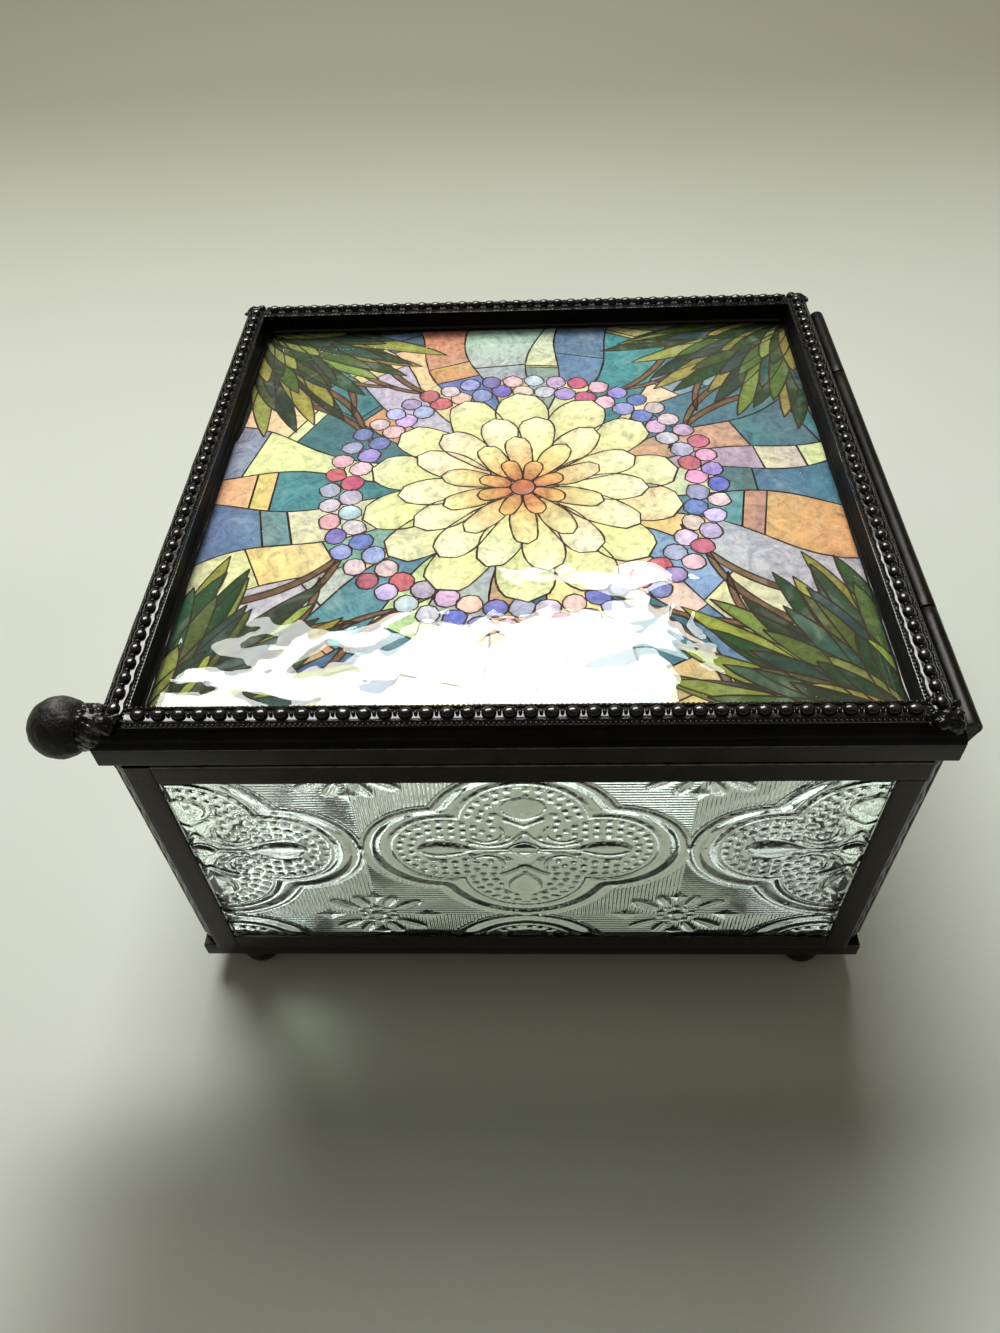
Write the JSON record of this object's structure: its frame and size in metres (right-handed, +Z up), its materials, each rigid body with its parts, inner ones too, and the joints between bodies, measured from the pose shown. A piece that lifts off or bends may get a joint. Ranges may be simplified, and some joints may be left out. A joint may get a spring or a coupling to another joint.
{
  "type": "glass casket box",
  "caption": "Leaded glass keepsake box: pressed-glass walls in dark came, mirror floor on ball feet, and a hinged glazed lid with a beaded rim and a lift ball at one corner.",
  "frame": {"origin": "on the table plane, under the centre of the closed box's bounding box (the body's own centre is 0.7 mm to -X and 3.5 mm to +Y of it, because the lift ball and the hinge stick out)", "axes": "+Z up, front (opening side) faces -Y, hinge on the +Y side, +X to the right seen from the front"},
  "size_m": [0.1388, 0.1548, 0.0862],
  "materials": {
    "pressed_glass": "pressed relief outside, smooth inside, faint green tint",
    "clear_glass": "clear, slightly wavy",
    "print": "printed leaded-glass design",
    "board": "milk-white translucent sheet",
    "mirror": "silvered glass",
    "came": "brown-black patina, dull",
    "base_came": "black patina, slightly glossy",
    "corner_solder": "patinated solder seam",
    "rim": "gloss black",
    "bead_strip": "gloss black, beaded",
    "rim_solder": "rough granular black solder",
    "cast_ball": "matte mottled black",
    "hinge_tube": "black patina",
    "rod": "drawn wire"
  },
  "bodies": {
    "body": {"front_glass": "pressed_glass", "front_top_came": "came", "front_bottom_came": "came", "front_left_came": "came", "front_right_came": "came", "right_glass": "pressed_glass", "right_top_came": "came", "right_bottom_came": "came", "right_left_came": "came", "right_right_came": "came", "back_glass": "pressed_glass", "back_top_came": "came", "back_bottom_came": "came", "back_left_came": "came", "back_right_came": "came", "left_glass": "pressed_glass", "left_top_came": "came", "left_bottom_came": "came", "left_left_came": "came", "left_right_came": "came", "front_left_seam": "corner_solder", "front_right_seam": "corner_solder", "back_left_seam": "corner_solder", "back_right_seam": "corner_solder", "base_mirror": "mirror", "base_front_came": "base_came", "base_right_came": "base_came", "base_back_came": "base_came", "base_left_came": "base_came", "front_left_foot": "cast_ball", "front_right_foot": "cast_ball", "back_left_foot": "cast_ball", "back_right_foot": "cast_ball", "hinge_left_knuckle": "hinge_tube", "hinge_right_knuckle": "hinge_tube", "hinge_rod": "rod"},
    "lid": {"lid_hinge_knuckle": "hinge_tube", "lid_glass": "clear_glass", "lid_print": "print", "lid_backing": "board", "lid_front_came": "came", "lid_right_came": "came", "lid_back_came": "came", "lid_left_came": "came", "lid_front_rim": "rim", "lid_right_rim": "rim", "lid_back_rim": "rim", "lid_left_rim": "rim", "lid_front_bead_strip": "bead_strip", "lid_right_bead_strip": "bead_strip", "lid_back_bead_strip": "bead_strip", "lid_left_bead_strip": "bead_strip", "lid_corner_solder": "rim_solder", "lift_ball": "cast_ball", "lift_ball_solder": "rim_solder"}
  },
  "joints": [
    {"name": "lid_hinge", "type": "hinge", "parent": "body", "child": "lid", "pos_m": [-0.0007, 0.0756, 0.0784], "axis": [-1, 0, 0], "range_deg": [0, 105]}
  ]
}
